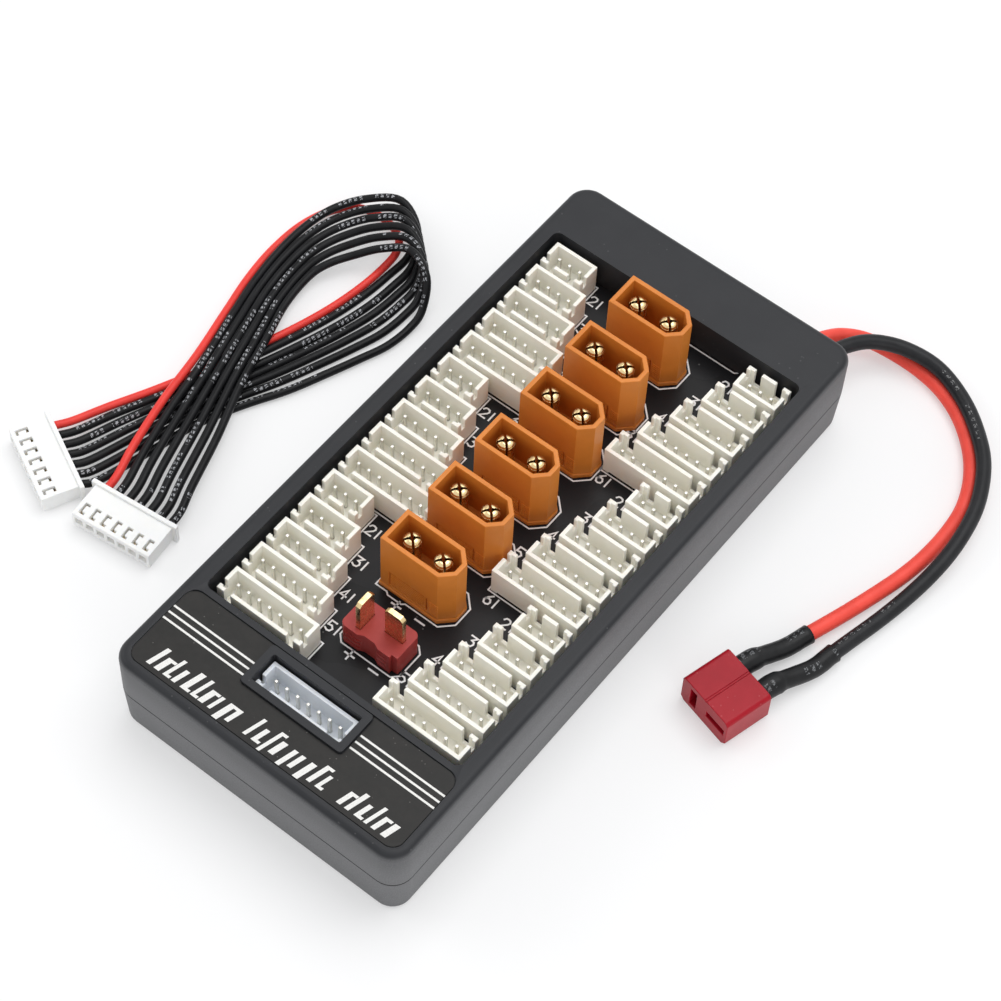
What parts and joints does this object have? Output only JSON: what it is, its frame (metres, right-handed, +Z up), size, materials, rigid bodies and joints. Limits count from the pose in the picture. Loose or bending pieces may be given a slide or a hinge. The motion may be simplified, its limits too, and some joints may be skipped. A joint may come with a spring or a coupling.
{
  "type": "parallel balance charging board",
  "caption": "Parallel charging board for battery packs: a flat black case open over rows of balance headers and upright power sockets, with a power lead and a loose balance lead.",
  "frame": {"origin": "middle of the case's footprint, on the surface it lies on", "axes": "+X to the right when the label is nearest the viewer, +Y from the label end to the end the power lead leaves, +Z up out of the sockets"},
  "size_m": [0.16, 0.1611, 0.0291],
  "materials": {
    "case_upper": "satin black, moulded",
    "case_lower": "satin black, moulded",
    "label": "smooth dark film",
    "board": "gloss black solder mask",
    "header_ivory": "ivory nylon, satin",
    "header_white": "white nylon, satin",
    "pin_tin": "bright tin",
    "socket_orange": "orange nylon, satin",
    "pin_gold": "gold plated",
    "blade_housing": "maroon nylon, satin",
    "solder": "dull solder",
    "steel": "zinc-plated steel",
    "plug_crimson": "crimson nylon, satin",
    "sleeve_black": "heat-shrink, satin",
    "wire_red": "red silicone",
    "wire_black": "black silicone",
    "balance_red": "red silicone",
    "balance_black": "black silicone",
    "plug_white": "white nylon, satin"
  },
  "bodies": {
    "root": {"upper_shell": "case_upper", "lower_shell": "case_lower", "label_panel": "label", "case_screws": "steel", "circuit_board": "board", "header_bank_left_rear": "header_ivory", "header_pins_left_rear": "pin_tin", "header_bank_left_middle": "header_ivory", "header_pins_left_middle": "pin_tin", "header_bank_left_front": "header_ivory", "header_pins_left_front": "pin_tin", "header_bank_right_rear": "header_ivory", "header_pins_right_rear": "pin_tin", "header_bank_right_middle": "header_ivory", "header_pins_right_middle": "pin_tin", "header_bank_right_front": "header_ivory", "header_pins_right_front": "pin_tin", "output_header": "header_white", "output_header_pins": "pin_tin", "power_socket_1": "socket_orange", "power_pins_1": "pin_gold", "power_socket_2": "socket_orange", "power_pins_2": "pin_gold", "power_socket_3": "socket_orange", "power_pins_3": "pin_gold", "power_socket_4": "socket_orange", "power_pins_4": "pin_gold", "power_socket_5": "socket_orange", "power_pins_5": "pin_gold", "power_socket_6": "socket_orange", "power_pins_6": "pin_gold", "blade_socket": "blade_housing", "blade_contacts": "pin_gold", "solder_joints": "solder", "power_wire_red": "wire_red", "power_wire_black": "wire_black", "sleeve_red": "sleeve_black", "sleeve_black": "sleeve_black", "power_plug": "plug_crimson", "power_plug_contacts": "pin_gold", "balance_wire_1": "balance_red", "balance_wire_2": "balance_black", "balance_wire_3": "balance_black", "balance_wire_4": "balance_black", "balance_wire_5": "balance_black", "balance_wire_6": "balance_black", "balance_wire_7": "balance_black", "balance_plug_a": "plug_white", "balance_plug_b": "plug_white", "balance_contacts_a": "pin_gold", "balance_contacts_b": "pin_gold"}
  },
  "joints": []
}
